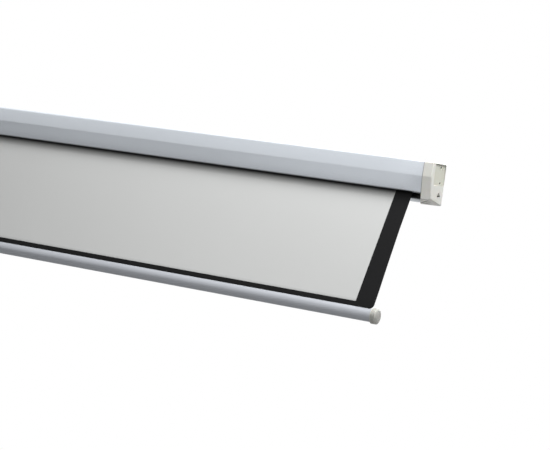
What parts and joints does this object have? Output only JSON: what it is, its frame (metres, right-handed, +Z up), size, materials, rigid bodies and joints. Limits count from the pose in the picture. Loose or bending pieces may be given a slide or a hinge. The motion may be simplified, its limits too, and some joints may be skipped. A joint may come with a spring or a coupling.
{
  "type": "pull down projector screen",
  "caption": "Manual pull-down projector screen: a long roller case with moulded end caps, a spring roller, white fabric with black borders and a weighted bottom bar with a pull handle.",
  "frame": {"origin": "midway between the hanging holes of the two end caps, on their common axis, about which the case hangs tipped", "axes": "+X along the case towards the spring end, +Z up, and the plumb fabric faces -Y, the viewing side"},
  "size_m": [2.0674, 0.0824, 0.3582],
  "materials": {
    "case_paint": "smooth light blue-grey powder coat",
    "bar_paint": "satin blue-grey lacquer",
    "cap_plastic": "cream moulded plastic",
    "grey_plastic": "grey moulded plastic",
    "steel": "plain steel",
    "galvanised": "galvanised steel tube",
    "screen_cloth": "matt white projection fabric with black borders"
  },
  "bodies": {
    "case": {"case_shell": "case_paint", "end_cap_right": "cap_plastic", "end_cap_left": "cap_plastic", "cap_screw_1": "steel", "cap_screw_2": "steel", "cap_screw_3": "steel", "cap_screw_4": "steel", "spring_spindle": "steel", "ratchet_hub": "steel", "spring_collar": "steel", "torsion_spring": "steel", "idle_bush": "grey_plastic", "fabric_run": "screen_cloth"},
    "roller": {"roller_tube": "galvanised", "wound_fabric": "screen_cloth", "drive_plug": "grey_plastic", "idle_plug": "grey_plastic", "idle_pin": "steel", "spring_anchor": "grey_plastic", "pawl_pin_a": "steel", "pawl_pin_b": "steel"},
    "upper_pawl": {"pawl_a": "steel"},
    "lower_pawl": {"pawl_b": "steel"},
    "screen": {"screen_fabric": "screen_cloth", "bottom_bar": "bar_paint", "hem_rod": "grey_plastic", "bar_cap_right": "cap_plastic", "bar_cap_left": "cap_plastic", "handle_clip": "grey_plastic"},
    "handle": {"pull_handle": "grey_plastic"}
  },
  "joints": [
    {"name": "screen_drop", "type": "slide", "parent": "case", "child": "screen", "axis": [0, 0, -1], "range_m": [-0.2045, 1.7764], "deforming": ["screen_fabric"]},
    {"name": "roller_turn", "type": "hinge", "parent": "case", "child": "roller", "pos_m": [0, 0.00276, -0.02282], "axis": [1, 0, 0], "range_deg": [-491, 4242]},
    {"name": "upper_pawl_swing", "type": "hinge", "parent": "roller", "child": "upper_pawl", "pos_m": [1.009, -0.00291, -0.01225], "axis": [1, 0, 0], "range_deg": [0, 30]},
    {"name": "lower_pawl_swing", "type": "hinge", "parent": "roller", "child": "lower_pawl", "pos_m": [1.009, 0.00843, -0.0334], "axis": [1, 0, 0], "range_deg": [0, 30]},
    {"name": "handle_swing", "type": "hinge", "parent": "screen", "child": "handle", "pos_m": [0, -0.0032, -0.30456], "axis": [1, 0, 0], "range_deg": [-135, 135]}
  ],
  "couplings": [
    {"joint": "roller_turn", "follows": "screen_drop", "rad_per_m": 41.635}
  ]
}
